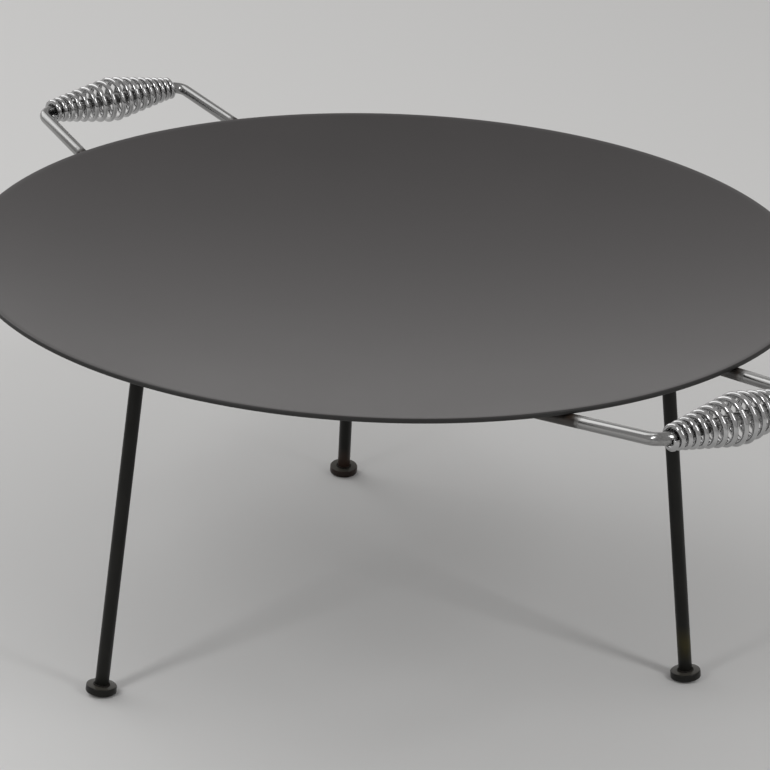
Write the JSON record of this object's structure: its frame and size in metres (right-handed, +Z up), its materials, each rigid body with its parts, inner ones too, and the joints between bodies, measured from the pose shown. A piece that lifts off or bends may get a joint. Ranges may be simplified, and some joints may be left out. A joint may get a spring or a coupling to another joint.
{
  "type": "camp griddle plate",
  "caption": "Round, shallow-dished steel griddle plate standing on splayed screw-in rod legs with disc feet, with U-shaped side handles that carry loose double-cone wire coil grips.",
  "frame": {"origin": "on the floor under the middle of the plate", "axes": "+X out through handle a, +Y square to the handles and away from leg 1, +Z up"},
  "size_m": [0.7078, 0.5498, 0.2835],
  "materials": {
    "seasoned_plate": "satin dark grey, oil-blackened steel",
    "black_steel": "satin black",
    "weld_metal": "rough black weld bead",
    "plated_bar": "bright plated, blackened at the welded ends",
    "plated_wire": "bright plated spring wire"
  },
  "bodies": {
    "griddle": {"griddle_plate": "seasoned_plate", "leg_socket_1": "black_steel", "leg_socket_2": "black_steel", "leg_socket_3": "black_steel", "socket_weld_1": "weld_metal", "socket_weld_2": "weld_metal", "socket_weld_3": "weld_metal", "handle_bar_a": "plated_bar", "handle_bar_b": "plated_bar", "arm_weld_a1": "weld_metal", "arm_weld_a2": "weld_metal", "arm_weld_b1": "weld_metal", "arm_weld_b2": "weld_metal"},
    "leg_1": {"leg_rod_1": "black_steel", "leg_foot_1": "black_steel", "foot_weld_1": "weld_metal"},
    "leg_2": {"leg_rod_2": "black_steel", "leg_foot_2": "black_steel", "foot_weld_2": "weld_metal"},
    "leg_3": {"leg_rod_3": "black_steel", "leg_foot_3": "black_steel", "foot_weld_3": "weld_metal"},
    "grip_a": {"coil_grip_a": "plated_wire"},
    "grip_b": {"coil_grip_b": "plated_wire"}
  },
  "joints": [
    {"name": "leg_1_unscrew", "type": "slide", "parent": "griddle", "child": "leg_1", "axis": [0, -0.125, -0.9922], "range_m": [0, 0.04]},
    {"name": "leg_2_unscrew", "type": "slide", "parent": "griddle", "child": "leg_2", "axis": [0.1083, 0.0625, -0.9922], "range_m": [0, 0.04]},
    {"name": "leg_3_unscrew", "type": "slide", "parent": "griddle", "child": "leg_3", "axis": [-0.1083, 0.0625, -0.9922], "range_m": [0, 0.04]},
    {"name": "grip_a_spin", "type": "hinge", "parent": "griddle", "child": "grip_a", "pos_m": [0.3377, 0, 0.26704], "axis": [0, 1, 0], "continuous": true},
    {"name": "grip_b_spin", "type": "hinge", "parent": "griddle", "child": "grip_b", "pos_m": [-0.3377, 0, 0.26704], "axis": [0, 1, 0], "continuous": true}
  ]
}
